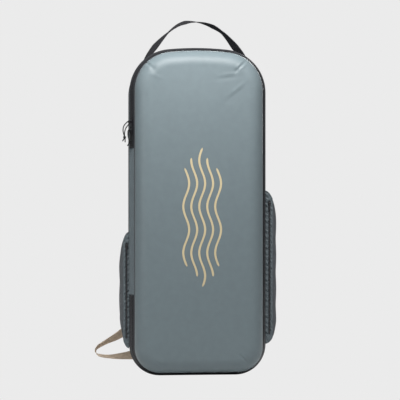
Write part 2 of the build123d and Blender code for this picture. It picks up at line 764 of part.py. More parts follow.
def strap_end(side):
    """Short webbing that hangs the ladder lock from the shoulder strap."""
    with BuildPart() as end:
        leg = LOCK_DROP + LOCK_BAR - CLEAR
        add(hairpin(side, LOCK_TOP - LOCK_BAR, 1, STRAP_END_THICK, leg, leg))
    return end


def lower_webbing(side, loop):
    """Webbing with a free end behind the lock's low bar, and a loose run down to the anchor."""
    start_z = loop[0][2]
    bar_z = LOCK_LOW + LOCK_BAR
    with BuildLine(mode=Mode.PRIVATE) as run:
        Spline(*[(side * x, y, z) for x, y, z, twist in loop], tangents=[(0, 0, -1), (-side, 0, 0.3)])
    stations = []
    points = [Vector(side * x, y, z) for x, y, z, twist in loop]
    for point, (x, y, z, twist) in zip(points, loop):
        along = run.line.edge().tangent_at(point)
        flat = Vector(0, 1, 0).cross(along).normalized()
        stations.append((point, along, flat.rotate(Axis((0, 0, 0), along), side * twist)))
    with BuildPart() as webbing:
        add(ribbon(stations, WEBBING, LOWER_WEBBING_THICK))
        add(hairpin(side, bar_z, -1, LOWER_WEBBING_THICK, bar_z - start_z, FREE_END))
    return webbing


def anchor(side):
    """Fabric wing at the body's low corner that the lower webbing is sewn to."""
    wing_x = side * (SIDE - ANCHOR_IN)
    tip_x = side * (SIDE - ANCHOR_IN - ANCHOR_WIDTH)
    with BuildPart() as wing:
        with BuildSketch(front_plane(BACK_FACE + CLEAR + ANCHOR_THICK)):
            with BuildLine():
                Polyline(
                    (wing_x, ANCHOR_Z + WEBBING * 1.4),
                    (wing_x, ANCHOR_Z + WEBBING * 0.4),
                    (tip_x, ANCHOR_Z - WEBBING * 0.7),
                    (tip_x, ANCHOR_Z + WEBBING * 0.7),
                    close=True,
                )
            make_face()
        extrude(amount=ANCHOR_THICK)
    return wing


for name, side, loop in (("left", -1, LEFT_LOOP), ("right", 1, RIGHT_LOOP)):
    save(shoulder_strap(side), f"{name}_shoulder_strap")
    save(ladder_lock(side), f"{name}_ladder_lock")
    save(strap_end(side), f"{name}_strap_end")
    save(lower_webbing(side, loop), f"{name}_lower_webbing")
    save(anchor(side), f"{name}_anchor")

# ---- sternum strap and its side-release buckle ---------------------------------------------------
STERNUM_Y = STRAP_BACK + CLEAR + STERNUM_THICK / 2
FEMALE_END = BUCKLE_X + BUCKLE_LENGTH
MALE_END = BUCKLE_X - CLEAR - MALE_BASE
STRAP_CENTRE = STRAP_LINE[1][0]


def buckle_box(low_x, high_x, height, thick, mode=Mode.ADD):
    """Block of the buckle between two x, centred on the sternum strap."""
    with Locations(((low_x + high_x) / 2, STERNUM_Y, STERNUM_Z)):
        Box(high_x - low_x, thick, height, mode=mode)


def sternum_webbing(low_x, high_x):
    """Flat webbing across the back of a shoulder strap, into its half of the buckle."""
    with BuildPart() as webbing:
        buckle_box(low_x, high_x, STERNUM, STERNUM_THICK)
    return webbing


save(
    sternum_webbing(-STRAP_CENTRE - STERNUM_GRIP, MALE_END + BUCKLE_SEAT - CLEAR),
    "left_sternum_webbing",
)
save(
    sternum_webbing(FEMALE_END - BUCKLE_SEAT + CLEAR, STRAP_CENTRE + STERNUM_GRIP),
    "right_sternum_webbing",
)

SEAT_HEIGHT = STERNUM + 2 * CLEAR
SEAT_THICK = STERNUM_THICK + 2 * CLEAR
with BuildPart() as buckle_female:
    buckle_box(BUCKLE_X, FEMALE_END, BUCKLE_HEIGHT, BUCKLE_THICK)
    fillet(buckle_female.edges().filter_by(Axis.X), BUCKLE_THICK / 4)
    cavity = (BUCKLE_HEIGHT - 2 * BUCKLE_WALL, BUCKLE_THICK - 2 * BUCKLE_WALL)
    buckle_box(BUCKLE_X, BUCKLE_X + PRONG + CLEAR, *cavity, mode=Mode.SUBTRACT)
    window = (BUCKLE_X + PRONG * 0.4, BUCKLE_X + PRONG * 0.8)
    buckle_box(*window, BUCKLE_HEIGHT, cavity[1] - 2 * CLEAR, mode=Mode.SUBTRACT)
    buckle_box(FEMALE_END - BUCKLE_SEAT, FEMALE_END, SEAT_HEIGHT, SEAT_THICK, mode=Mode.SUBTRACT)
save(buckle_female, "buckle_female")

with BuildPart() as buckle_male:
    buckle_box(MALE_END, BUCKLE_X - CLEAR, BUCKLE_HEIGHT, BUCKLE_THICK)
    fillet(buckle_male.edges().filter_by(Axis.X), BUCKLE_THICK / 4)
    prong_thick = cavity[1] - 2 * CLEAR
    prong_shift = (cavity[0] - PRONG_HEIGHT) / 2 - CLEAR
    prong_middle = BUCKLE_X + (PRONG - CLEAR) / 2
    for shift in (prong_shift, -prong_shift):
        with Locations((prong_middle, STERNUM_Y, STERNUM_Z + shift)):
            Box(PRONG + CLEAR, prong_thick, PRONG_HEIGHT)
    buckle_box(BUCKLE_X - CLEAR, BUCKLE_X + GUIDE, PRONG_HEIGHT, prong_thick)
    buckle_box(MALE_END, MALE_END + BUCKLE_SEAT, SEAT_HEIGHT, SEAT_THICK, mode=Mode.SUBTRACT)
save(buckle_male, "buckle_male")
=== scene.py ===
"""Looks for the tackle backpack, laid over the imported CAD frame. Metres; +Z is up and the shell faces -Y."""

from math import asin, atan2, cos, hypot, pi, radians, sin, sqrt

import bmesh
import bpy
import numpy as np
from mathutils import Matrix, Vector


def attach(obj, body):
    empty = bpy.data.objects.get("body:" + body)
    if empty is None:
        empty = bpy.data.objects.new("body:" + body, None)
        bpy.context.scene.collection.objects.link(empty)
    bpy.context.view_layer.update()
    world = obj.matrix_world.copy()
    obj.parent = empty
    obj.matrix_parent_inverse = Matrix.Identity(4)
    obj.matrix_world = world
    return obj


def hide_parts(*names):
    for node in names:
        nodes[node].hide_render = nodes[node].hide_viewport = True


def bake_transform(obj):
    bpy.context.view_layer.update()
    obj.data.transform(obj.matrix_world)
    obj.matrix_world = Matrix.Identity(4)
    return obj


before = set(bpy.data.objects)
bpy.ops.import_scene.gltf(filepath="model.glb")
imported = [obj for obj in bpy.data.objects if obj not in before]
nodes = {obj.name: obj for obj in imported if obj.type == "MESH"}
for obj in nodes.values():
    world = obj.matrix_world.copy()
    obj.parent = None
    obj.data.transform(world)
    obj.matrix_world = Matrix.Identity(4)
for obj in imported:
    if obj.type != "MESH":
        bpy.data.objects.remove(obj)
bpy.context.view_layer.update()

MM = 0.001

# ---- sizes shared with the CAD, in millimetres ---------------------------------------------------
BODY_WIDTH = 334.0
BODY_HEIGHT = 800.0
SIDE = BODY_WIDTH / 2
TOP_CORNER = 105.0
BOTTOM_CORNER = 74.0
TOP_CROWN = 700.0
WALL_FRONT = -48.0
BACK_FACE = 80.3
SEAM_IN = 12.0
SEAM_FORWARD = 25.5
SHELL_INSET = 12.6
SHELL_WALL = 4.0
RIM_Y = -78.1
SHELL_FRONT = -130.1
SHELL_ROUND = 38.0
HINGE_TOP = 553.6
HINGE_LOW = 198.0
STRAP_FRONT = 90.3
STRAP_BACK = 102.3

CORNER_X = SIDE - TOP_CORNER
CROWN_Z = BODY_HEIGHT - TOP_CROWN
CROWN_HALF_ANGLE = asin(CORNER_X / (TOP_CROWN - TOP_CORNER))
CORNER_Z = CROWN_Z + sqrt((TOP_CROWN - TOP_CORNER) ** 2 - CORNER_X**2)
SEAM_LENGTH = hypot(SEAM_IN, SEAM_FORWARD)
SEAM_SLANT = atan2(SEAM_IN, SEAM_FORWARD)

# ---- small mesh and object helpers ---------------------------------------------------------------


def new_object(name, points, faces, material, smooth=True):
    """Object from points in millimetres."""
    mesh = bpy.data.meshes.new(name)
    mesh.from_pydata([tuple(c * MM for c in p) for p in points], [], faces)
    mesh.validate()
    mesh.materials.append(material)
    for polygon in mesh.polygons:
        polygon.use_smooth = smooth
    thing = bpy.data.objects.new(name, mesh)
    bpy.context.scene.collection.objects.link(thing)
    return thing


def grid_faces(rows, columns, loop=False, skip=None):
    """Quads between neighbouring rows of a grid of points; loop joins the last column to the first."""
    faces = []
    last = columns if loop else columns - 1
    for r in range(rows - 1):
        for c in range(last):
            if skip and skip(r, c):
                continue
            d = (c + 1) % columns
            faces.append((r * columns + c, r * columns + d, (r + 1) * columns + d, (r + 1) * columns + c))
    return faces


def grid_object(name, grid, material, loop=False, skip=None, smooth=True):
    """Object from a grid of points, an array of rows by columns by three."""
    grid = np.asarray(grid, float)
    rows, columns = grid.shape[:2]
    points = grid.reshape(-1, 3)
    return new_object(name, points, grid_faces(rows, columns, loop, skip), material, smooth)


def apply_modifiers(thing):
    """Turns an object's modifiers into its mesh."""
    graph = bpy.context.evaluated_depsgraph_get()
    mesh = bpy.data.meshes.new_from_object(thing.evaluated_get(graph))
    thing.modifiers.clear()
    thing.data = mesh


def thicken(thing, thick, offset=0.0):
    """Gives a surface a thickness in millimetres: offset 0 both ways, -1 inward, 1 outward."""
    solid = thing.modifiers.new("thickness", "SOLIDIFY")
    solid.thickness = thick * MM
    solid.offset = offset
    apply_modifiers(thing)
    return thing


def fix_normals(thing):
    """Welds points that coincide and turns all faces the same way, outward."""
    work = bmesh.new()
    work.from_mesh(thing.data)
    bmesh.ops.remove_doubles(work, verts=work.verts, dist=0.02 * MM)
    bmesh.ops.recalc_face_normals(work, faces=work.faces)
    work.to_mesh(thing.data)
    work.free()
    return thing


def smooth_line(points, count):
    """Points evenly along a Catmull-Rom curve through the given points."""
    p = np.asarray(points, float)
    ends = np.vstack([2 * p[0] - p[1], p, 2 * p[-1] - p[-2]])
    fine = []
    for i in range(1, len(ends) - 2):
        a, b, c, d = ends[i - 1 : i + 3]
        for t in np.linspace(0, 1, 24, endpoint=False):
            square = (2 * a - 5 * b + 4 * c - d) * t**2
            cube = (3 * b - a - 3 * c + d) * t**3
            fine.append(0.5 * (2 * b + (c - a) * t + square + cube))
    fine.append(p[-1])
    fine = np.array(fine)
    run = np.concatenate([[0], np.cumsum(np.linalg.norm(np.diff(fine, axis=0), axis=1))])
    even = np.linspace(0, run[-1], count)
    return np.stack([np.interp(even, run, fine[:, k]) for k in range(3)], axis=1)


def tangents_of(line):
    """Unit tangents along a line of points."""
    t = np.gradient(np.asarray(line, float), axis=0)
    return t / np.linalg.norm(t, axis=1, keepdims=True)


def ribbon(name, line, wide, width, thick, material):
    """Webbing along a line, wide along the given directions, with slightly rounded edges."""
    line = np.asarray(line, float)
    along = tangents_of(line)
    wide = np.asarray(wide, float)
    wide = wide - along * np.sum(wide * along, axis=1, keepdims=True)
    wide = wide / np.linalg.norm(wide, axis=1, keepdims=True)
    normal = np.cross(wide, along)
    profile = []
    across = np.linspace(-1, 1, 9)
    edge = 0.45
    for s in across:
        profile.append((s * width / 2, thick / 2 * (edge if abs(s) == 1 else 1)))
    for s in across[::-1]:
        profile.append((s * width / 2, -thick / 2 * (edge if abs(s) == 1 else 1)))
    grid = np.array([[p + w * a + n * b for a, b in profile] for p, w, n in zip(line, wide, normal)])
    rows, columns = grid.shape[:2]
    faces = grid_faces(rows, columns, loop=True)
    faces.append(tuple(range(columns))[::-1])
    faces.append(tuple((rows - 1) * columns + c for c in range(columns)))
    return fix_normals(new_object(name, grid.reshape(-1, 3), faces, material))


def tube(name, line, radius, material, loop=False, sides=10):
    """Round cord or piping along a line of points."""
    line = np.asarray(line, float)
    if loop:
        along = np.roll(line, -1, axis=0) - np.roll(line, 1, axis=0)
        along = along / np.linalg.norm(along, axis=1, keepdims=True)
    else:
        along = tangents_of(line)
    guide = np.array([0.0, 1.0, 0.0]) if abs(along[0][1]) < 0.9 else np.array([1.0, 0.0, 0.0])
    rows = []
    for p, t in zip(line, along):
        u = guide - t * np.dot(guide, t)
        u = u / np.linalg.norm(u)
        guide = u
        v = np.cross(t, u)
        turns = np.linspace(0, 2 * pi, sides, endpoint=False)
        rows.append([p + radius * (u * cos(a) + v * sin(a)) for a in turns])
    grid = np.array(rows)
    if loop:
        grid = np.vstack([grid, grid[:1]])
    count = grid.shape[0]
    faces = grid_faces(count, sides, loop=True)
    if not loop:
        faces.append(tuple(range(sides))[::-1])
        faces.append(tuple((count - 1) * sides + c for c in range(sides)))
    return fix_normals(new_object(name, grid.reshape(-1, 3), faces, material))


def bricks(name, places, sizes, material):
    """Many small blocks in one mesh: each place is a middle and three axes, sizes are full lengths."""
    around = ((-1, -1), (1, -1), (1, 1), (-1, 1))
    corners = [(x, y, z) for z in (-1, 1) for x, y in around]
    quads = [(0, 3, 2, 1), (4, 5, 6, 7), (0, 1, 5, 4), (1, 2, 6, 5), (2, 3, 7, 6), (3, 0, 4, 7)]
    points = []
    faces = []
    for middle, a, b, c in places:
        start = len(points)
        for i, j, k in corners:
            points.append(
                np.asarray(middle)
                + np.asarray(a) * (i * sizes[0] / 2)
                + np.asarray(b) * (j * sizes[1] / 2)
                + np.asarray(c) * (k * sizes[2] / 2)
            )
        faces += [tuple(start + v for v in quad) for quad in quads]
    return fix_normals(new_object(name, points, faces, material, smooth=False))


# ---- the body's outline --------------------------------------------------------------------------
CORNER_STEPS = 52
SIDE_STEPS = 90
BOTTOM_STEPS = 36
CROWN_STEPS = 36


def outline(inset):
    """Points round the body's front view, drawn in by inset, starting at the low left corner's end."""
    low_x = SIDE - BOTTOM_CORNER
    half = SIDE - inset
    corner = pi / 2 - CROWN_HALF_ANGLE

    def straight(a, b, steps):
        return [(a[0] + (b[0] - a[0]) * i / steps, a[1] + (b[1] - a[1]) * i / steps) for i in range(steps)]

    def arc(cx, cz, r, start, sweep, steps):
        turns = [start + sweep * i / steps for i in range(steps)]
        return [(cx + r * cos(turn), cz + r * sin(turn)) for turn in turns]

    low = BOTTOM_CORNER - inset
    top = TOP_CORNER - inset
    points = straight((-low_x, inset), (low_x, inset), BOTTOM_STEPS)
    points += arc(low_x, BOTTOM_CORNER, low, -pi / 2, pi / 2, CORNER_STEPS)
    points += straight((half, BOTTOM_CORNER), (half, CORNER_Z), SIDE_STEPS)
    points += arc(CORNER_X, CORNER_Z, top, 0, corner, CORNER_STEPS)
    points += arc(0, CROWN_Z, TOP_CROWN - inset, corner, 2 * CROWN_HALF_ANGLE, CROWN_STEPS)
    points += arc(-CORNER_X, CORNER_Z, top, pi - corner, corner, CORNER_STEPS)
    points += straight((-half, CORNER_Z), (-half, BOTTOM_CORNER), SIDE_STEPS)
    points += arc(-low_x, BOTTOM_CORNER, low, pi, pi / 2, CORNER_STEPS)
    return np.array(points)


def ring(inset, y):
    """The outline at a depth, as points in space."""
    flat = outline(inset)
    return np.stack([flat[:, 0], np.full(len(flat), y), flat[:, 1]], axis=1)


def even_ring(inset, y, pitch):
    """Points, tangents and outward directions at even steps round a ring."""
    line = ring(inset, y)
    closed = np.vstack([line, line[:1]])
    run = np.concatenate([[0], np.cumsum(np.linalg.norm(np.diff(closed, axis=0), axis=1))])
    count = int(run[-1] / pitch)
    even = np.linspace(0, run[-1], count, endpoint=False)
    points = np.stack([np.interp(even, run, closed[:, k]) for k in range(3)], axis=1)
    along = np.roll(points, -1, axis=0) - np.roll(points, 1, axis=0)
    along = along / np.linalg.norm(along, axis=1, keepdims=True)
    outward = np.stack([along[:, 2], np.zeros(len(along)), -along[:, 0]], axis=1)
    return points, along, outward


def seam_point(along):
    """Inset and y of the point that far along the slanted seam from the side wall."""
    share = along / SEAM_LENGTH
    return share * SEAM_IN, WALL_FRONT - share * SEAM_FORWARD


# ---- materials -----------------------------------------------------------------------------------


def base_material(name, colour, rough, specular=0.4):
    """Plain principled material and its shader node."""
    material = bpy.data.materials.new(name)
    material.use_nodes = True
    shader = material.node_tree.nodes["Principled BSDF"]
    shader.inputs["Base Color"].default_value = (*colour, 1)
    shader.inputs["Roughness"].default_value = rough
    shader.inputs["Specular IOR Level"].default_value = specular
    material.diffuse_color = (*colour, 1)
    return material, shader


def link(material, out_socket, in_socket):
    material.node_tree.links.new(out_socket, in_socket)


def math_node(material, operation, first, second):
    """Maths node on two values or sockets."""
    node = material.node_tree.nodes.new("ShaderNodeMath")
    node.operation = operation
    for socket, value in zip(node.inputs, (first, second)):
        if isinstance(value, (int, float)):
            socket.default_value = value
        else:
            link(material, value, socket)
    return node.outputs[0]


def noise(material, scale, detail=3.0):
    """Noise over the object's own coordinates."""
    tree = material.node_tree
    place = tree.nodes.new("ShaderNodeTexCoord")
    node = tree.nodes.new("ShaderNodeTexNoise")
    node.inputs["Scale"].default_value = scale
    node.inputs["Detail"].default_value = detail
    link(material, place.outputs["Object"], node.inputs["Vector"])
    return node.outputs["Fac"]


def weave(material, pitch):
    """Height of a plain weave with the given thread pitch in millimetres."""
    tree = material.node_tree
    place = tree.nodes.new("ShaderNodeTexCoord")
    split = tree.nodes.new("ShaderNodeSeparateXYZ")
    link(material, place.outputs["Object"], split.inputs[0])
    turns = 2 * pi / (pitch * MM)
    level = math_node(material, "ADD", split.outputs["X"], split.outputs["Y"])
    across = math_node(material, "SINE", math_node(material, "MULTIPLY", level, turns), 0.0)
    up = math_node(material, "SINE", math_node(material, "MULTIPLY", split.outputs["Z"], turns), 0.0)
    return math_node(material, "MULTIPLY", across, up)


def add_bump(material, shader, height, strength, distance):
    """Bump from a height socket; distance in millimetres."""
    bump = material.node_tree.nodes.new("ShaderNodeBump")
    bump.inputs["Strength"].default_value = strength
    bump.inputs["Distance"].default_value = distance * MM
    link(material, height, bump.inputs["Height"])
    link(material, bump.outputs["Normal"], shader.inputs["Normal"])


def mottle(material, shader, colour, amount, scale):
    """Slight light and dark patches in the base colour."""
    ramp = material.node_tree.nodes.new("ShaderNodeValToRGB")
    ramp.color_ramp.elements[0].position = 0.3
    ramp.color_ramp.elements[1].position = 0.7
    ramp.color_ramp.elements[0].color = (*[c * (1 - amount) for c in colour], 1)
    ramp.color_ramp.elements[1].color = (*[min(1, c * (1 + amount)) for c in colour], 1)
    link(material, noise(material, scale), ramp.inputs["Fac"])
    link(material, ramp.outputs["Color"], shader.inputs["Base Color"])


def cloth(name, colour, rough=0.75, pitch=1.2, depth=0.12, strength=0.5, sheen=0.02, patches=0.06):
    """Woven cloth with a thread pitch and thread depth in millimetres."""
    material, shader = base_material(name, colour, rough, 0.25)
    shader.inputs["Sheen Weight"].default_value = sheen
    shader.inputs["Sheen Roughness"].default_value = 0.5
    mottle(material, shader, colour, patches, 60.0)
    add_bump(material, shader, weave(material, pitch), strength, depth)
    return material


def webbing(name, colour):
    """Woven webbing with a coarse, ribbed thread."""
    material, shader = base_material(name, colour, 0.75, 0.15)
    shader.inputs["Sheen Weight"].default_value = 0.02
    mottle(material, shader, colour, 0.12, 140.0)
    add_bump(material, shader, weave(material, 1.8), 0.7, 0.3)
    return material


def plastic(name, colour, rough):
    """Moulded plastic or coated metal with a faint grain."""
    material, shader = base_material(name, colour, rough, 0.5)
    add_bump(material, shader, noise(material, 900.0), 0.15, 0.1)
    return material


def open_mesh(name, colour):
    """Knitted mesh: cloth with small see-through holes."""
    material, shader = base_material(name, colour, 0.8, 0.3)
    hole = math_node(material, "GREATER_THAN", weave(material, 3.2), 0.45)
    link(material, math_node(material, "SUBTRACT", 1.0, hole), shader.inputs["Alpha"])
    return material


SHELL = cloth(
    "shell_cloth", (0.118, 0.149, 0.161), rough=0.42, pitch=1.0, depth=0.06, strength=0.35, patches=0.03
)
WALL = cloth("wall_cloth", (0.105, 0.130, 0.142), rough=0.62, pitch=1.3, depth=0.12)
STRETCH = cloth("pocket_cloth", (0.070, 0.078, 0.085), rough=0.7, pitch=0.9, depth=0.1)
POCKET_STRIP = cloth("pocket_strip_cloth", (0.110, 0.134, 0.146), rough=0.36, pitch=1.1, depth=0.1)
BACK = cloth("back_cloth", (0.070, 0.075, 0.080), rough=0.8, pitch=1.5, depth=0.15)
LINING = cloth("lining_cloth", (0.150, 0.158, 0.160), rough=0.7, pitch=0.8, depth=0.06)
SPACER = cloth("spacer_mesh", (0.045, 0.048, 0.052), rough=0.9, pitch=3.0, depth=0.5, strength=0.9)
BINDING = cloth("binding_cloth", (0.018, 0.019, 0.021), rough=0.7, pitch=1.6, depth=0.15)
TAPE = cloth("zip_tape_cloth", (0.014, 0.015, 0.018), rough=0.55, pitch=0.9, depth=0.08)
BLACK_WEBBING = webbing("black_webbing", (0.012, 0.012, 0.014))
TAN_WEBBING = webbing("tan_webbing", (0.560, 0.450, 0.345))
TEETH = plastic("zip_teeth_plastic", (0.016, 0.016, 0.018), 0.4)
COIL_PLASTIC = plastic("coil_plastic", (0.045, 0.048, 0.052), 0.35)
METAL = plastic("black_metal", (0.015, 0.015, 0.017), 0.3)
BUCKLE = plastic("buckle_plastic", (0.020, 0.020, 0.022), 0.45)
PIPING = plastic("piping_rubber", (0.016, 0.017, 0.020), 0.5)
CORD = cloth("cord_braid", (0.010, 0.010, 0.011), rough=0.7, pitch=1.1, depth=0.2)
MESH = open_mesh("pocket_mesh", (0.030, 0.031, 0.034))
BOARD = plastic("frame_board", (0.060, 0.060, 0.062), 0.6)
THREAD = cloth("thread", (0.200, 0.235, 0.250), rough=0.8, pitch=0.6, depth=0.05)
PRINT = base_material("print_ink", (0.440, 0.365, 0.225), 0.6)[0]

CAD_FINISH = {
    WALL: ["side_wall"],
    BACK: ["back_panel", "left_anchor", "right_anchor"],
    BOARD: ["frame_sheet"],
    LINING: ["main_lining", "shell_lining", "rod_divider", "gear_shelf_1", "gear_shelf_2"],
    BLACK_WEBBING: [
        "lower_rod_strap",
        "upper_rod_strap",
        "mesh_hem",
        "left_strap_end",
        "right_strap_end",
        "right_sternum_webbing",
    ],
    TAPE: ["rear_zip_tape", "front_zip_tape"],
    METAL: ["upper_slider", "lower_slider", "left_pocket_slider", "right_pocket_slider"],
    BUCKLE: [
        "left_pocket_tab",
        "right_pocket_tab",
        "left_ladder_lock",
        "right_ladder_lock",
        "buckle_female",
        "buckle_male",
    ],
    PIPING: ["front_piping"],
    MESH: ["mesh_pocket"],
}


def paint_cad():
    """Gives every CAD node that stays in view its finish."""
    for material, names in CAD_FINISH.items():
        for name in names:
            nodes[name].data.materials.clear()
            nodes[name].data.materials.append(material)


# ---- front shell ---------------------------------------------------------------------------------
# Creases that run in over the rolled edge: start and end (x, z), depth and half width
CREASES = (
    ((-133, 762), (-114, 743), 1.5, 2.6),
    ((111, 761), (87, 736), 1.4, 2.4),
    ((-104, 44), (-89, 34), 1.0, 2.2),
    ((97, 57), (113, 41), 1.1, 2.2),
)
# Dimples at the inner ends of the creases: x, z, depth, radius
DIMPLES = ((-112, 741, 1.9, 6.5), (86, 735, 1.7, 6.5), (-88, 36, 0.8, 6.0), (96, 58, 0.9, 6.0))
# Soft folds: middle x, z, direction in degrees, half length, half width, height
FOLDS = (
    (72, 728, 8, 22, 4.5, 0.7),
    (68, 719, 8, 24, 5, -0.7),
    (90, 694, 40, 24, 5, 0.8),
    (80, 676, 40, 26, 6, -0.6),
    (98, 655, 55, 26, 6, 0.4),
    (-104, 722, 160, 16, 5, 0.5),
    (0, 770, 0, 70, 12, 0.5),
)
PLATEAU_CROWN = 1.6


def shell_relief(x, z):
    """How far the shell's cloth stands out or in at x, z, from its creases, dimples and folds."""
    out = np.zeros_like(x)
    for (x0, z0), (x1, z1), depth, width in CREASES:
        dx, dz = x1 - x0, z1 - z0
        length = hypot(dx, dz)
        share = np.clip(((x - x0) * dx + (z - z0) * dz) / length**2, 0, 1)
        away = np.hypot(x - x0 - share * dx, z - z0 - share * dz)
        fade = np.sin(pi * np.clip(share * 0.8 + 0.15, 0, 1))
        out -= depth * fade * np.exp(-((away / width) ** 2))
        out += depth * 0.5 * fade * np.exp(-(((away - 2.2 * width) / (1.3 * width)) ** 2))
    for x0, z0, depth, radius in DIMPLES:
        out -= depth * np.exp(-((x - x0) ** 2 + (z - z0) ** 2) / radius**2)
    for x0, z0, turn, half, width, height in FOLDS:
        c, s = cos(radians(turn)), sin(radians(turn))
        along = (x - x0) * c + (z - z0) * s
        across = -(x - x0) * s + (z - z0) * c
        out += height * np.exp(-((along / half) ** 2) - (across / width) ** 2)
    return out


def shell_rings():
    """Rings of points over the shell's outside, from the rim to the middle line of its front."""
    steps = [(SHELL_INSET, y) for y in np.linspace(RIM_Y, SHELL_FRONT + SHELL_ROUND, 6)[:-1]]
    for turn in np.linspace(0, pi / 2, 26):
        steps.append(
            (SHELL_INSET + SHELL_ROUND * (1 - cos(turn)), SHELL_FRONT + SHELL_ROUND * (1 - sin(turn)))
        )
    rings = [ring(inset, y) for inset, y in steps]
    last = rings[-1]
    middle_x = np.zeros(len(last))
    middle_z = np.clip(last[:, 2], 170.0, 640.0)
    for share in np.linspace(0, 1, 46)[1:]:
        level = last.copy()
        level[:, 0] = last[:, 0] * (1 - share) + middle_x * share
        level[:, 2] = last[:, 2] * (1 - share) + middle_z * share
        level[:, 1] -= PLATEAU_CROWN * sin(share * pi / 2) ** 2
        rings.append(level)
    return np.array(rings)


def shell_surface():
    """The shell's outside with its creases pressed in along the surface's own normals."""
    grid = shell_rings()
    along = np.roll(grid, -1, axis=1) - np.roll(grid, 1, axis=1)
    inward = np.gradient(grid, axis=0)
    normal = np.cross(along, inward)
    length = np.linalg.norm(normal, axis=2, keepdims=True)
    normal = normal / np.maximum(length, 1e-9)
    flip = np.sign(normal[:, :, 1:2].mean())
    normal = normal * (-flip if flip else 1)
    relief = shell_relief(grid[:, :, 0], grid[:, :, 2])
    return grid + normal * relief[:, :, None]


def front_y(x, z):
    """y of the shell's flat front at x, z, near its middle."""
    share = 1 - min(1.0, abs(x) / (SIDE - SHELL_INSET - SHELL_ROUND))
    return SHELL_FRONT - PLATEAU_CROWN * sin(share * pi / 2) ** 2


def make_shell():
    shell = grid_object("shell_skin", shell_surface(), SHELL, loop=True)
    fix_normals(shell)
    thicken(shell, SHELL_WALL * 0.8, -1)
    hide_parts("front_shell")
    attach(shell, "front")


# Plain print on the shell: a few rippled upright lines
PRINT_LINES = 5
PRINT_SPACING = 19.0
PRINT_WIDTH = 5.0
PRINT_MIDDLE_X = 5.0
PRINT_LOW = 222.0
PRINT_TOP = 552.0
PRINT_WAVE = 7.0
PRINT_WAVE_LENGTH = 110.0
PRINT_LIFT = 0.25


def make_print():
    """Rippled lines lying on the shell, longer in the middle than at the sides."""
    points = []
    faces = []
    for number in range(PRINT_LINES):
        shift = number - (PRINT_LINES - 1) / 2
        trim = abs(shift) * 24.0
        heights = np.linspace(PRINT_LOW + trim, PRINT_TOP - trim, 90)
        start = len(points)
        for z in heights:
            end = min(z - heights[0], heights[-1] - z)
            half = PRINT_WIDTH / 2 * sqrt(min(1.0, end / PRINT_WIDTH + 0.02))
            x = PRINT_MIDDLE_X + shift * PRINT_SPACING + PRINT_WAVE * sin(2 * pi * z / PRINT_WAVE_LENGTH)
            for side in (-1, -0.33, 0.33, 1):
                px = x + side * half
                points.append((px, front_y(px, z) - PRINT_LIFT, z))
        faces += [tuple(start + v for v in f) for f in grid_faces(len(heights), 4)]
    thing = new_object("shell_print", points, faces, PRINT)
    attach(thing, "front")


# ---- main zip ------------------------------------------------------------------------------------
TOOTH_PITCH = 2.6
TOOTH = (1.7, 3.3, 2.2)
TOOTH_FROM_MIDDLE = 1.55


def on_hinge(x, z):
    """Whether a point of the seam lies at the fabric hinge."""
    return x < -SIDE + 40 and HINGE_LOW - 1 < z < HINGE_TOP + 1


def make_teeth(name, side, body):
    """One side's row of teeth; side -1 is the body's and 1 the shell's."""
    inset, y = seam_point(SEAM_LENGTH / 2 + side * TOOTH_FROM_MIDDLE)
    points, along, outward = even_ring(inset, y, TOOTH_PITCH)
    if side > 0:
        points = points + along * TOOTH_PITCH / 2
    places = []
    for p, t, o in zip(points, along, outward):
        if on_hinge(p[0], p[2]):
            continue
        across = np.array([0, -cos(SEAM_SLANT), 0]) - o * sin(SEAM_SLANT)
        out = np.cross(t, across)
        places.append((p, t, across, out))
    teeth = bricks(name.replace("zip_teeth", "teeth_row"), places, TOOTH, TEETH)
    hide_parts(name)
    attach(teeth, body)


# ---- fabric hinge --------------------------------------------------------------------------------
STITCH_PITCH = 6.2
STITCH = (3.4, 0.8, 0.7)


def hinge_point(along, z, lift=0.0):
    """Point on the slanted cloth at the hinge, lifted outward."""
    inset, y = seam_point(along)
    slack = 1.2 * sin(pi * along / SEAM_LENGTH)
    up = lift - slack
    return (-SIDE + inset - cos(SEAM_SLANT) * up, y - sin(SEAM_SLANT) * up, z)


def make_hinge():
    """Cloth strip at the hinge between the body and the shell, with a line of stitches at each edge."""
    heights = np.linspace(HINGE_LOW - 2, HINGE_TOP + 2, 80)
    across = np.linspace(0.3, SEAM_LENGTH - 0.3, 15)
    cloth_strip = grid_object("hinge_cloth", [[hinge_point(a, z) for a in across] for z in heights], WALL)
    fix_normals(cloth_strip)
    thicken(cloth_strip, 1.0)
    places = []
    for along in (3.2, SEAM_LENGTH - 3.2):
        for z in np.arange(HINGE_LOW + 4, HINGE_TOP - 3, STITCH_PITCH):
            out = np.array([-cos(SEAM_SLANT), -sin(SEAM_SLANT), 0])
            sideways = np.array([sin(SEAM_SLANT), -cos(SEAM_SLANT), 0])
            places.append((np.array(hinge_point(along, z, 0.6)), np.array([0, 0, 1.0]), sideways, out))
    stitches = bricks("hinge_stitches", places, STITCH, THREAD)
    for thing in (cloth_strip, stitches):
        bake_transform(thing)
    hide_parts("hinge_panel")


# ---- cord pulls ----------------------------------------------------------------------------------
CORD_WIDTH = 2.6
BAR_X = -167.696
BAR_Y = -63.901
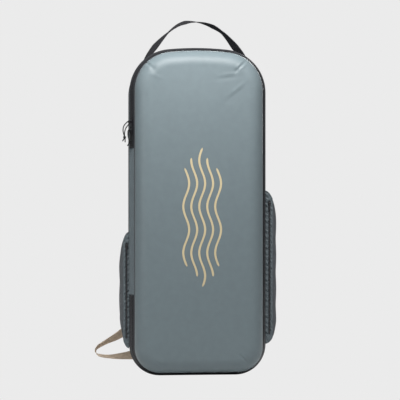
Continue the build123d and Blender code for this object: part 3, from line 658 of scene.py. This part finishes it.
# For each pull: height of its bar, how far it leans to the shell's side in degrees, the knot's place, and the
# routes of its two strands, nearer the pack and farther out; places are down from the bar and outward of it
PULLS = {
    "upper": (
        617.561,
        -8.0,
        (38.0, 9.5),
        (
            *((-2.6, 0.2), (-1.8, -2.3), (1.2, -3.1), (7, 1.5), (16, 8.4)),
            *((26, 10.6), (36, 9.8), (44, 7.6), (50, 7.4)),
        ),
        (
            *((-2.6, -0.2), (-1.6, 2.4), (3, 7.4), (9.5, 13.4), (19, 15.4)),
            *((28, 13.6), (37, 9.6), (43, 11.4), (47.5, 14.6)),
        ),
    ),
    "lower": (
        595.561,
        8.0,
        (27.0, 0.0),
        ((-2.6, 0.2), (-1.8, -2.3), (2, -2.9), (9, -2.9), (17, -2.2), (25, -0.9), (33, -0.4), (39, -0.6)),
        ((-2.6, -0.2), (-1.6, 2.4), (4, 3.6), (12, 4.0), (20, 2.6), (26, 0.9), (32, 3.2), (37, 6.8)),
    ),
}


def pull_point(bar_z, lean, down, out):
    """Point in metres that far down a pull from its slider's bar, and outward of it."""
    aside = down * sin(radians(lean))
    x = BAR_X - cos(SEAM_SLANT) * out + sin(SEAM_SLANT) * aside
    y = BAR_Y - sin(SEAM_SLANT) * out - cos(SEAM_SLANT) * aside
    return Vector((x * MM, y * MM, (bar_z - down * cos(radians(lean))) * MM))


def strand(name, bar_z, lean, route):
    """Open curve of cord."""
    curve = bpy.data.curves.new(name, "CURVE")
    curve.dimensions = "3D"
    curve.bevel_depth = CORD_WIDTH / 2 * MM
    curve.bevel_resolution = 3
    curve.use_fill_caps = True
    line = curve.splines.new("NURBS")
    line.points.add(len(route) - 1)
    for point, (down, out) in zip(line.points, route):
        point.co = (*pull_point(bar_z, lean, down, out), 1)
    line.order_u = 3
    line.use_endpoint_u = True
    line.resolution_u = 8
    curve.materials.append(CORD)
    thing = bpy.data.objects.new(name, curve)
    bpy.context.scene.collection.objects.link(thing)
    return thing


KNOT_RADIUS = 3.6


def make_knot(name, bar_z, lean, place):
    """Overhand knot: a lump with the cord's turns showing round it."""
    centre = pull_point(bar_z, lean, *place) / MM
    rows = []
    for up in np.linspace(-pi / 2, pi / 2, 15):
        row = []
        for turn in np.linspace(0, 2 * pi, 24, endpoint=False):
            groove = 1 + 0.13 * sin(3.2 * up * 2 + turn)
            r = KNOT_RADIUS * groove
            flat = r * cos(up)
            row.append((centre[0] + flat * cos(turn), centre[1] + flat * sin(turn), centre[2] + r * sin(up)))
        rows.append(row)
    return fix_normals(grid_object(name, rows, CORD, loop=True))


def make_pull(level):
    bar_z, lean, knot_place, inner, outer = PULLS[level]
    body = f"{level}_pull"
    lump = make_knot(f"{level}_knot", bar_z, lean, knot_place)
    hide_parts(f"{level}_pull_cord")
    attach(lump, body)
    for number, route in enumerate((inner, outer)):
        piece = strand(f"{level}_strand_{number + 1}", bar_z, lean, route)
        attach(piece, body)


# ---- side pockets --------------------------------------------------------------------------------
POCKET_FRONT = -34.0
POCKET_BACK = 62.0
FRONT_SHARE = 0.58
ZIP_HALF = 2.7
ZIP_END = 22.0
POCKETS = {
    "left": dict(side=-1, low=66.0, height=281.0, bulge=24.0, top=102.0, foot=110.0, zip=6.4),
    "right": dict(side=1, low=74.0, height=376.0, bulge=33.0, top=116.0, foot=86.0, zip=11.0),
}
PUCKER_PITCH = 13.0
PUCKER = 2.2


def pocket_reach(pocket, z):
    """How far the pocket stands out of the side wall at a height."""
    low = pocket["low"] + pocket["foot"]
    top = pocket["low"] + pocket["height"] - pocket["top"]
    if z < low:
        share = (low - z) / pocket["foot"]
    elif z > top:
        share = (z - top) / pocket["top"]
    else:
        share = 0.0
    return pocket["bulge"] * sqrt(max(0.0, 1 - min(1.0, share) ** 2))


def pocket_heights(pocket, count=88):
    """Heights up the pocket, closer together at its ends."""
    turn = np.linspace(-pi / 2, pi / 2, count)
    return pocket["low"] + pocket["height"] * (0.5 + 0.5 * np.sin(turn))


def pucker(z, strength):
    """Gathered cloth: uneven ripples up the pocket's front."""
    ripple = sin(2 * pi * z / PUCKER_PITCH) + 0.5 * sin(2 * pi * z / (PUCKER_PITCH * 0.62) + 1.3)
    return strength * PUCKER * ripple


def make_pocket_panel(name, pocket):
    """Outer panel of the pocket, domed from above, with faint folds where it is drawn to the seams."""
    side = pocket["side"]
    strip = pocket["bulge"] * FRONT_SHARE
    middle = (POCKET_FRONT + POCKET_BACK) / 2
    half = (POCKET_BACK - POCKET_FRONT) / 2
    rows = []
    for z in pocket_heights(pocket):
        reach = pocket_reach(pocket, z)
        row = []
        for turn in np.linspace(0, pi, 30):
            across = -cos(turn)
            out = min(reach, strip * 0.96 + (pocket["bulge"] - strip) * sin(turn) ** 0.9)
            sag = 0.7 * sin(z / 13.0 + across * 4.0) * sin(turn) * min(1.0, reach / pocket["bulge"])
            row.append((side * (SIDE + 0.3 + max(0.0, out + sag - 0.4)), middle + across * half, z))
        row.append((side * (SIDE + 0.2), POCKET_BACK, z))
        rows.append(row)
    panel = grid_object(f"{name}_pocket_skin", rows, STRETCH)
    fix_normals(panel)
    thicken(panel, 1.2)
    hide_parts(f"{name}_pocket_panel")
    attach(panel, "pack")


def make_pocket_strip(name, pocket):
    """Gathered cloth on the pocket's front, open where its zip runs."""
    side = pocket["side"]
    strip = pocket["bulge"] * FRONT_SHARE * 0.96
    zip_low = pocket["low"] + ZIP_END
    zip_high = pocket["low"] + pocket["height"] - ZIP_END
    low, high = pocket["low"] + 1, pocket["low"] + pocket["height"] - 1
    heights = np.linspace(low, high, int(pocket["height"] / 1.3))
    near = pocket["zip"] - ZIP_HALF + 0.3
    far = pocket["zip"] + ZIP_HALF - 0.3
    columns = [0.0, near * 0.25, near * 0.5, near * 0.75, near, pocket["zip"], far]
    columns += [far + (strip - far) * s for s in (0.3, 0.6, 0.85, 1.0)]
    hole = {4, 5}
    rows = []
    for z in heights:
        reach = pocket_reach(pocket, z)
        row = []
        for number, out in enumerate(columns):
            if out < near:
                loose = sin(pi * min(1.0, out / near))
            else:
                loose = 0.6 * sin(pi * (out - far) / (strip - far))
            edge_pucker = 0.35 * pucker(z, 1.0) if number in (0, 4) else 0
            drawn = pucker(z + out * 0.8, max(0.0, loose)) + edge_pucker
            row.append((side * (SIDE + 0.3 + min(out, reach)), POCKET_FRONT + 0.3 - drawn * 0.8, z))
        rows.append(row)

    def in_zip(r, c):
        return c in hole and zip_low < heights[r] and heights[r + 1] < zip_high

    cloth_strip = grid_object(f"{name}_pocket_gather", rows, POCKET_STRIP, skip=in_zip)
    fix_normals(cloth_strip)
    thicken(cloth_strip, 0.9)
    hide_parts(f"{name}_pocket_front")
    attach(cloth_strip, "pack")
    seam = []
    for z in pocket_heights(pocket, 70):
        seam.append((side * (SIDE + 0.3 + min(strip, pocket_reach(pocket, z))), POCKET_FRONT + 0.6, z))
    edge = tube(f"{name}_pocket_edge", seam, 1.3, POCKET_STRIP)
    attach(edge, "pack")


COIL_PITCH = 2.2
COIL = (2.6, 1.1, 1.3)


POCKET_TAPE_ACROSS = (-2.9, -1.5, 0, 1.5, 2.9)
POCKET_TAPE_LIFT = 0.9
POCKET_TAPE_CURL = 0.3
POCKET_TAPE_THICK = 0.7
COIL_LEAN = 0.35  # each link's lean from level, in radians


def make_pocket_zip(name, pocket):
    """Closed coil zip on its tape, from end to end of the pocket's opening."""
    side = pocket["side"]
    middle = side * (SIDE + 0.3 + pocket["zip"])
    low = pocket["low"] + ZIP_END
    high = pocket["low"] + pocket["height"] - ZIP_END
    rows = []
    for z in np.linspace(low, high, 60):
        wave = 0.25 * sin(z / 9.0)
        face = POCKET_FRONT + POCKET_TAPE_LIFT + wave
        edge = POCKET_TAPE_ACROSS[-1]
        rows.append([(middle + a, face + POCKET_TAPE_CURL * abs(a) / edge, z) for a in POCKET_TAPE_ACROSS])
    tape = grid_object(f"{name}_pocket_tape", rows, TAPE)
    fix_normals(tape)
    thicken(tape, POCKET_TAPE_THICK)
    places = []
    for number, z in enumerate(np.arange(low + 1, high - 1, COIL_PITCH)):
        lean = COIL_LEAN if number % 2 else -COIL_LEAN
        across = np.array([cos(lean), 0, sin(lean)])
        up = np.array([-sin(lean), 0, cos(lean)])
        places.append((np.array([middle, POCKET_FRONT + 0.25, z]), across, np.array([0, 1.0, 0]), up))
    coil = bricks(f"{name}_pocket_coil", places, COIL, COIL_PLASTIC)
    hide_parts(f"{name}_pocket_zip")
    for thing, slot in ((tape, "zip_tape"), (coil, "zip_teeth")):
        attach(thing, "pack")


# ---- webbing -------------------------------------------------------------------------------------
HANDLE_ROUTE = ((-128, 769), (-121, 783), (-100, 812), (-70, 844), (-40, 865), (-8, 871))
HANDLE_ROUTE += ((30, 864), (64, 845), (94, 812), (114, 786), (121, 771))
HANDLE_TURNS = (22, 32, 37, 24, 10, 20, 28, 12, -3, -13, -6, -18, -33, -32, -24)
WEBBING = 25.0


def turned(line, turns):
    """Width directions along a line, turned about it by the turns, in degrees, from lying along Y."""
    along = tangents_of(line)
    steps = np.linspace(0, len(turns) - 1, len(line))
    angles = np.interp(steps, range(len(turns)), turns)
    wide = []
    for t, turn in zip(along, angles):
        level = np.array([0.0, 1.0, 0.0]) - t * t[1]
        level = level / np.linalg.norm(level)
        wide.append(level * cos(radians(turn)) + np.cross(t, level) * sin(radians(turn)))
    return np.array(wide)


def make_handle():
    """Twisted webbing handle, sewn down at both feet."""
    line = smooth_line([(x, 0, z) for x, z in HANDLE_ROUTE], 130)
    loop = ribbon("handle_webbing", line, turned(line, HANDLE_TURNS), WEBBING, 2.0, BLACK_WEBBING)
    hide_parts("handle_loop", "left_handle_tab", "right_handle_tab")
    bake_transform(loop)


LOCK_X = 92.0
LOCK_BAR_Z = 304.0
STRAP_MIDDLE = 96.3
# x outward, y, z and twist from lying flat against the back
LEFT_LOOP = (
    (92, 92.7, 284, 0),
    (98, 94, 235, 0),
    (118, 96, 164, 0),
    (150, 96, 114, 0),
    (190, 95, 84, 34),
    (224, 93, 66, 58),
    (245, 90, 54, 66),
    (252, 88, 43, 84),
    (243, 87, 33, 112),
    (214, 86.4, 29, 119),
    (172, 88, 31, 146),
    (146, 85.4, 35, 176),
    (128, 84.2, 38, 180),
)
RIGHT_LOOP = (
    (92, 92.7, 284, 0),
    (96, 94, 235, 0),
    (108, 96, 172, 0),
    (124, 94, 110, 0),
    (134, 88, 68, 0),
    (138, 84.2, 40, 0),
)


def make_lower_webbing(name, side, loop):
    """Webbing from its free end, over the ladder lock's bar and down to the anchor."""
    radius = 3.6
    fold = []
    for turn in np.linspace(0, pi, 7):
        fold.append((side * LOCK_X, STRAP_MIDDLE + radius * cos(turn), LOCK_BAR_Z + radius * sin(turn)))
    heights = np.linspace(LOCK_BAR_Z - 71, LOCK_BAR_Z - 4, 8)
    tail = [(side * LOCK_X, STRAP_MIDDLE + radius, z) for z in heights]
    run = smooth_line([(side * x, y, z) for x, y, z, turn in loop], 110)
    along = tangents_of(run)
    given = smooth_line([(side * x, y, z) for x, y, z, turn in loop], 1000)
    places = [np.array([side * x, y, z]) for x, y, z, turn in loop]
    marks = [int(np.argmin(np.linalg.norm(given - place, axis=1))) for place in places]
    angles = np.interp(np.linspace(0, 999, len(run)), marks, [turn for x, y, z, turn in loop])
    wide = []
    for t, turn in zip(along, angles):
        flat = np.cross([0.0, 1.0, 0.0], t)
        flat = flat / np.linalg.norm(flat)
        angle = radians(side * turn)
        wide.append(flat * cos(angle) + np.cross(t, flat) * sin(angle))
    start = np.array([-1.0, 0, 0]) if wide[0][0] < 0 else np.array([1.0, 0, 0])
    line = np.vstack([tail, fold, run])
    wide = np.vstack([[start] * (len(tail) + len(fold)), wide])
    strap = ribbon(f"{name}_loose_webbing", line, wide, WEBBING, 1.5, TAN_WEBBING)
    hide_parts(f"{name}_lower_webbing")
    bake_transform(strap)


def make_sternum():
    """Left half of the sternum webbing, laid straight across to the buckle."""
    line = np.array([(x, 103.35, 560) for x in np.linspace(-98, -17, 40)])
    strap = ribbon("left_sternum_ribbon", line, [[0, 0, 1.0]] * 40, 20.0, 1.5, BLACK_WEBBING)
    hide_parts("left_sternum_webbing")
    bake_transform(strap)


# ---- padding on the back and the straps ----------------------------------------------------------
QUILT = 34.0
QUILT_DEPTH = 2.0
QUILT_WIDTH = 3.0
VOXEL = 5.0
CLOTH_FRAMES = 20
CLOTH_PRESSURE = 4.0
PAD_ROUND = 9.0
PAD_CAP = 6.0
# low and high x, low and high z; corner; thickness; the node it stands for
PADS = {
    "left_pad_foam": ((-119, -16, 300, 668), 24, 8.0, "left_back_pad"),
    "right_pad_foam": ((16, 119, 300, 668), 24, 8.0, "right_back_pad"),
    "lumbar_pad_foam": ((-119, 119, 128, 274), 24, 8.0, "lumbar_pad"),
    "yoke_foam": ((-106, 106, 700, 744), 14, 13.5, "yoke"),
}
PAD_START = 0.82  # share of a pad's thickness before it swells


def swell(thing, cap, floor, ceiling):
    """Blows a closed shape up as cloth. No point moves over cap, or past the floor or ceiling in y."""
    remesh = thing.modifiers.new("remesh", "REMESH")
    remesh.mode = "VOXEL"
    remesh.voxel_size = VOXEL * MM
    apply_modifiers(thing)
    before = [v.co.copy() for v in thing.data.vertices]
    cloth_modifier = thing.modifiers.new("cloth", "CLOTH")
    cloth_modifier.settings.use_pressure = True
    cloth_modifier.settings.uniform_pressure_force = CLOTH_PRESSURE
    cloth_modifier.settings.effector_weights.gravity = 0
    cloth_modifier.point_cache.frame_start = 1
    cloth_modifier.point_cache.frame_end = CLOTH_FRAMES
    for number in range(1, CLOTH_FRAMES + 1):
        bpy.context.scene.frame_set(number)
    apply_modifiers(thing)
    bpy.context.scene.frame_set(1)
    for vertex, start in zip(thing.data.vertices, before):
        move = vertex.co - start
        if move.length > cap * MM:
            move = move * (cap * MM / move.length)
        vertex.co = start + move
        vertex.co.y = min(max(vertex.co.y, floor * MM), ceiling * MM)


def quilt(thing, low_z, floor, height):
    """Presses sewn channels into a pad's outside."""
    for vertex in thing.data.vertices:
        share = min(1.0, max(0.0, (vertex.co.y / MM - floor) / height))
        away = ((vertex.co.z / MM - low_z) % QUILT) - QUILT / 2
        vertex.co.y -= QUILT_DEPTH * MM * share * np.exp(-((away / QUILT_WIDTH) ** 2))


def pillow(name, low_x, high_x, low_z, high_z, corner, thick, node):
    """Quilted pad on the back panel: crowned, rounded at its corners, with sewn channels across it."""
    count_x, count_z = 30, 50
    half_x, half_z = (high_x - low_x) / 2, (high_z - low_z) / 2
    floor = BACK_FACE + 0.3
    top = []
    base = []
    for j in range(count_z):
        for i in range(count_x):
            u = -cos(pi * i / (count_x - 1))
            v = -cos(pi * j / (count_z - 1))
            x, z = u * half_x, v * half_z
            over_x = max(0.0, abs(x) - (half_x - corner))
            over_z = max(0.0, abs(z) - (half_z - corner))
            reach = hypot(over_x, over_z)
            if over_x > 0 and over_z > 0 and reach > corner:
                x = (abs(x) - over_x + over_x * corner / reach) * (1 if x > 0 else -1)
                z = (abs(z) - over_z + over_z * corner / reach) * (1 if z > 0 else -1)
            if over_x > 0 and over_z > 0:
                edge = corner - min(corner, reach)
            else:
                edge = min(half_x - abs(x), half_z - abs(z))
            rise = min(1.0, max(0.0, edge) / PAD_ROUND)
            height = thick * PAD_START * sqrt(1 - (1 - rise) ** 2)
            place_x, place_z = x + (low_x + high_x) / 2, z + (low_z + high_z) / 2
            top.append((place_x, floor + height, place_z))
            base.append((place_x, floor, place_z))
    faces = grid_faces(count_z, count_x)
    shift = len(top)
    faces += [tuple(v + shift for v in face[::-1]) for face in grid_faces(count_z, count_x)]
    pad = fix_normals(new_object(name, top + base, faces, SPACER))
    swell(pad, PAD_CAP, floor, BACK_FACE + thick + 0.3)
    smooth = pad.modifiers.new("smooth", "SUBSURF")
    smooth.levels = 1
    apply_modifiers(pad)
    quilt(pad, low_z, floor, thick)
    for polygon in pad.data.polygons:
        polygon.use_smooth = True
    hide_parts(node)
    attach(pad, "pack")


STRAP_LINE = ((64, 698, 62), (77, 629, 59), (84, 560, 54), (90, 448, 48), (92, 336, 44))


def make_strap(name, side):
    """Padded shoulder strap with bound edges and a run of webbing down its middle."""
    line = smooth_line([(side * x, 0, z) for x, z, width in STRAP_LINE], 90)
    widths = np.interp(-line[:, 2], [-z for x, z, width in STRAP_LINE], [width for x, z, width in STRAP_LINE])
    along = tangents_of(line)
    across = np.cross([0.0, 1.0, 0.0], along)
    across[:] = across * np.sign(across[:1, :1]) * side
    middle_y = (STRAP_FRONT + STRAP_BACK) / 2
    half_thick = (STRAP_BACK - STRAP_FRONT) / 2
    rows = []
    for p, a, w in zip(line, across, widths):
        row = []
        for turn in np.linspace(0, 2 * pi, 36, endpoint=False):
            c, s = cos(turn), sin(turn)
            u = abs(c) ** 0.55 * (1 if c > 0 else -1)
            v = abs(s) ** 0.7 * (1 if s > 0 else -1)
            row.append((p[0] + a[0] * u * w / 2, middle_y + v * half_thick, p[2] + a[2] * u * w / 2))
        rows.append(row)
    grid = np.array(rows)
    count, sides = grid.shape[:2]
    faces = grid_faces(count, sides, loop=True)
    faces.append(tuple(range(sides))[::-1])
    faces.append(tuple((count - 1) * sides + c for c in range(sides)))
    strap = fix_normals(new_object(f"{name}_strap_pad", grid.reshape(-1, 3), faces, SPACER))
    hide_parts(f"{name}_shoulder_strap")
    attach(strap, "harness")
    for edge_name, way in (("inner", -1), ("outer", 1)):
        middle = np.array([0, middle_y, 0])
        edge = [p + a * way * (w / 2 - 0.8) + middle for p, a, w in zip(line, across, widths)]
        binding = tube(f"{name}_strap_{edge_name}_binding", edge, 2.0, BINDING)
        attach(binding, "harness")
    upper = [(x, STRAP_BACK + 0.7, z) for x, y, z in line if z > 574]
    lower = [(x, STRAP_BACK + 0.7, z) for x, y, z in line if z < 546]
    for run_name, run in (("upper", upper), ("lower", lower)):
        wide = [[1.0, 0, 0]] * len(run)
        strip = ribbon(f"{name}_strap_{run_name}_webbing", run, wide, 20.0, 1.0, BLACK_WEBBING)
        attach(strip, "harness")


BINDING_INSET = 0.4
BINDING_DEPTH = 74.2
BINDING_RADIUS = 1.8


def make_bindings():
    """Bound seam round the back panel, kept clear of the floor."""
    line = ring(BINDING_INSET, BINDING_DEPTH)
    line[:, 2] = np.maximum(line[:, 2], BINDING_RADIUS)
    back = tube("back_binding", line, BINDING_RADIUS, BINDING, loop=True, sides=8)
    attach(back, "pack")


# ---- stage ---------------------------------------------------------------------------------------
AIM = (0.002, -0.100, 0.428)
CAMERA_AZIMUTH = -4.0
CAMERA_DISTANCE = 2.8
FIELD = 0.961  # width of view at the aim point


def make_camera():
    camera = bpy.data.cameras.new("camera")
    camera.sensor_width = 36.0
    camera.lens = camera.sensor_width * CAMERA_DISTANCE / FIELD
    seat = bpy.data.objects.new("camera", camera)
    bpy.context.scene.collection.objects.link(seat)
    turn = radians(CAMERA_AZIMUTH)
    seat.location = (
        AIM[0] + CAMERA_DISTANCE * sin(turn),
        AIM[1] - CAMERA_DISTANCE * cos(turn),
        AIM[2],
    )
    aim = Vector(AIM) - seat.location
    seat.rotation_euler = aim.to_track_quat("-Z", "Y").to_euler()
    bpy.context.scene.camera = seat


def area_light(name, place, target, width, height, power, colour=(1, 1, 1)):
    """Soft rectangular light, aimed at a target."""
    light = bpy.data.lights.new(name, "AREA")
    light.shape = "RECTANGLE"
    light.size = width
    light.size_y = height
    light.energy = power
    light.color = colour
    lamp = bpy.data.objects.new(name, light)
    lamp.location = place
    lamp.rotation_euler = (Vector(target) - Vector(place)).to_track_quat("-Z", "Y").to_euler()
    bpy.context.scene.collection.objects.link(lamp)


BACKDROP = 0.831
AMBIENT = 0.27
FLOOR = 3.0
FLOOR_DROP = 0.001


def make_floor():
    """Pale floor that bounces light, and looks as plain as the backdrop."""
    half = FLOOR / 2 / MM
    z = -FLOOR_DROP / MM
    corners = [(-half, -half, z), (half, -half, z), (half, half, z), (-half, half, z)]
    material = bpy.data.materials.new("floor")
    material.use_nodes = True
    tree = material.node_tree
    tree.nodes.clear()
    out = tree.nodes.new("ShaderNodeOutputMaterial")
    mix = tree.nodes.new("ShaderNodeMixShader")
    matte = tree.nodes.new("ShaderNodeBsdfDiffuse")
    plain = tree.nodes.new("ShaderNodeEmission")
    path = tree.nodes.new("ShaderNodeLightPath")
    matte.inputs["Color"].default_value = (0.8, 0.8, 0.8, 1)
    plain.inputs["Color"].default_value = (BACKDROP, BACKDROP, BACKDROP, 1)
    tree.links.new(path.outputs["Is Camera Ray"], mix.inputs[0])
    tree.links.new(matte.outputs[0], mix.inputs[1])
    tree.links.new(plain.outputs[0], mix.inputs[2])
    tree.links.new(mix.outputs[0], out.inputs["Surface"])
    floor = new_object("floor", corners, [(0, 1, 2, 3)], material, smooth=False)


def make_world():
    """Even pale backdrop to the camera, and a dimmer even light on the object."""
    world = bpy.data.worlds.new("world")
    bpy.context.scene.world = world
    world.use_nodes = True
    tree = world.node_tree
    tree.nodes.clear()
    out = tree.nodes.new("ShaderNodeOutputWorld")
    mix = tree.nodes.new("ShaderNodeMixShader")
    seen = tree.nodes.new("ShaderNodeBackground")
    light = tree.nodes.new("ShaderNodeBackground")
    path = tree.nodes.new("ShaderNodeLightPath")
    seen.inputs["Color"].default_value = (BACKDROP, BACKDROP, BACKDROP, 1)
    light.inputs["Color"].default_value = (0.93, 0.97, 1.0, 1)
    light.inputs["Strength"].default_value = AMBIENT
    tree.links.new(path.outputs["Is Camera Ray"], mix.inputs[0])
    tree.links.new(light.outputs[0], mix.inputs[1])
    tree.links.new(seen.outputs[0], mix.inputs[2])
    tree.links.new(mix.outputs[0], out.inputs["Surface"])


# place, target, width, height, watts and colour of each light
LIGHTS = {
    "top_light": ((-0.03, -0.62, 1.30), (0.0, -0.10, 0.72), 0.8, 0.4, 20.0, (1.0, 0.985, 0.975)),
    "right_light": ((1.4, -1.2, 0.7), (0.0, -0.05, 0.45), 0.5, 1.4, 3.0),
    "back_light": ((0.3, 1.9, 1.1), (0.0, 0.1, 0.45), 1.2, 1.0, 26.0),
    "left_light": ((-1.4, -1.0, 0.7), (0.0, -0.05, 0.45), 0.4, 1.4, 6.0),
}


def make_stage():
    """Camera, backdrop, floor and lights."""
    make_camera()
    make_world()
    make_floor()
    for name, light in LIGHTS.items():
        area_light(name, *light)
    scene = bpy.context.scene
    scene.view_settings.view_transform = "Standard"
    scene.view_settings.look = "None"


# ---- build ---------------------------------------------------------------------------------------
paint_cad()
make_shell()
make_print()
make_teeth("rear_zip_teeth", -1, "pack")
make_teeth("front_zip_teeth", 1, "front")
make_hinge()
for level in PULLS:
    make_pull(level)
for name, pocket in POCKETS.items():
    make_pocket_panel(name, pocket)
    make_pocket_strip(name, pocket)
    make_pocket_zip(name, pocket)
make_handle()
make_lower_webbing("left", -1, LEFT_LOOP)
make_lower_webbing("right", 1, RIGHT_LOOP)
make_sternum()
for name, (places, corner, thick, node) in PADS.items():
    pillow(name, *places, corner, thick, node)
make_strap("left", -1)
make_strap("right", 1)
make_bindings()
make_stage()
